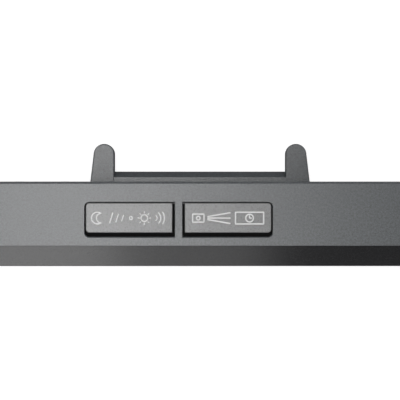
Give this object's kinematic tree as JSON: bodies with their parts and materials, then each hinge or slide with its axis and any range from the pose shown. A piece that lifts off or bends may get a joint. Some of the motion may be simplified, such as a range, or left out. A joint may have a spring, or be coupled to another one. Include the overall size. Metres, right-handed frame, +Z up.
{
  "type": "projection alarm clock",
  "caption": "Slim desk alarm clock with an LCD front, two keys on top, a swivelling projector drum in the upper right corner, setting keys and battery bay at the back and a flip-out foot.",
  "frame": {"origin": "centre of the footprint of the case and its opened foot, on the table", "axes": "+X along the width, to the right seen from the front; the display faces -Y; +Z up"},
  "size_m": [0.19, 0.039, 0.0885],
  "materials": {
    "case_plastic": "fine spark-eroded grain, matt",
    "bezel_plastic": "smooth satin",
    "key_plastic": "fine grain, matt",
    "black_plastic": "matt",
    "clear_window": "polished",
    "lcd_glass": "polished",
    "milk_plastic": "satin white",
    "circuit_board": "green solder mask",
    "black_rubber": "matt",
    "steel": "zinc plated",
    "cell_wrap": "printed film",
    "led_resin": "tinted clear resin",
    "optical_glass": "polished"
  },
  "bodies": {
    "clock_case": {"front_bezel": "bezel_plastic", "main_casing": "case_plastic", "display_lens": "clear_window", "lcd_panel": "lcd_glass", "light_guide": "milk_plastic", "backlight_leds": "milk_plastic", "lcd_holder": "milk_plastic", "zebra_strip": "black_rubber", "main_board": "circuit_board", "board_screws": "steel", "case_screws": "steel", "top_key_mat": "black_rubber", "top_key_board": "circuit_board", "top_board_screws": "steel", "rear_key_mat": "black_rubber", "slide_switch": "steel", "dc_jack": "black_plastic", "jack_pin": "steel", "buzzer": "black_plastic", "battery_cells": "cell_wrap", "contact_springs": "steel", "contact_plates": "steel", "case_pads": "black_rubber", "friction_washer": "steel"},
    "foot": {"stand_foot": "case_plastic", "stand_pins": "steel", "stand_pads": "black_rubber"},
    "projector": {"drum_shell": "case_plastic", "drum_cap": "bezel_plastic", "drum_retainer": "steel", "optics_holder": "black_plastic", "led_board": "circuit_board", "projector_led": "led_resin", "condenser_lens": "optical_glass", "image_slide": "lcd_glass"},
    "focus": {"focus_ring": "black_plastic"},
    "lens_barrel": {"lens_carrier": "black_plastic", "projection_lens": "optical_glass"},
    "snooze_light_button": {"snooze_light_key": "key_plastic"},
    "projection_button": {"projection_key": "key_plastic"},
    "set_button": {"set_key": "black_plastic"},
    "alarm_button": {"alarm_key": "black_plastic"},
    "up_button": {"up_key": "black_plastic"},
    "down_button": {"down_key": "black_plastic"},
    "channel_button": {"channel_key": "black_plastic"},
    "switch_slider": {"switch_knob": "black_plastic"},
    "battery_cover": {"battery_door": "case_plastic"}
  },
  "joints": [
    {"name": "foot_fold", "type": "hinge", "parent": "clock_case", "child": "foot", "pos_m": [0, 0.00325, 0.0027], "axis": [1, 0, 0], "range_deg": [0, 90]},
    {"name": "projector_tilt", "type": "hinge", "parent": "clock_case", "child": "projector", "pos_m": [0.0854, -0.0068, 0.07525], "axis": [1, 0, 0], "range_deg": [-90, 90]},
    {"name": "focus_turn", "type": "hinge", "parent": "projector", "child": "focus", "pos_m": [0.0854, -0.0068, 0.07525], "axis": [0, 0, 1], "range_deg": [0, 180]},
    {"name": "focus_travel", "type": "slide", "parent": "projector", "child": "lens_barrel", "axis": [0, 0, -1], "range_m": [0, 0.0012]},
    {"name": "snooze_light_press", "type": "slide", "parent": "clock_case", "child": "snooze_light_button", "axis": [0, 0, -1], "range_m": [0, 0.0008], "stiffness_N_per_m": 400, "springref_m": -0.0005},
    {"name": "projection_press", "type": "slide", "parent": "clock_case", "child": "projection_button", "axis": [0, 0, -1], "range_m": [0, 0.0008], "stiffness_N_per_m": 400, "springref_m": -0.0005},
    {"name": "set_press", "type": "slide", "parent": "clock_case", "child": "set_button", "axis": [0, -1, 0], "range_m": [0, 0.0006], "stiffness_N_per_m": 400, "springref_m": -0.0005},
    {"name": "alarm_press", "type": "slide", "parent": "clock_case", "child": "alarm_button", "axis": [0, -1, 0], "range_m": [0, 0.0006], "stiffness_N_per_m": 400, "springref_m": -0.0005},
    {"name": "up_press", "type": "slide", "parent": "clock_case", "child": "up_button", "axis": [0, -1, 0], "range_m": [0, 0.0006], "stiffness_N_per_m": 400, "springref_m": -0.0005},
    {"name": "down_press", "type": "slide", "parent": "clock_case", "child": "down_button", "axis": [0, -1, 0], "range_m": [0, 0.0006], "stiffness_N_per_m": 400, "springref_m": -0.0005},
    {"name": "channel_press", "type": "slide", "parent": "clock_case", "child": "channel_button", "axis": [0, -1, 0], "range_m": [0, 0.0006], "stiffness_N_per_m": 400, "springref_m": -0.0005},
    {"name": "switch_slide", "type": "slide", "parent": "clock_case", "child": "switch_slider", "axis": [1, 0, 0], "range_m": [0, 0.003]},
    {"name": "battery_cover_open", "type": "hinge", "parent": "clock_case", "child": "battery_cover", "pos_m": [0, 0.00595, 0.025], "axis": [1, 0, 0], "range_deg": [-90, 0]}
  ],
  "couplings": [
    {"joint": "focus_turn", "follows": "focus_travel", "rad_per_m": 2618}
  ]
}
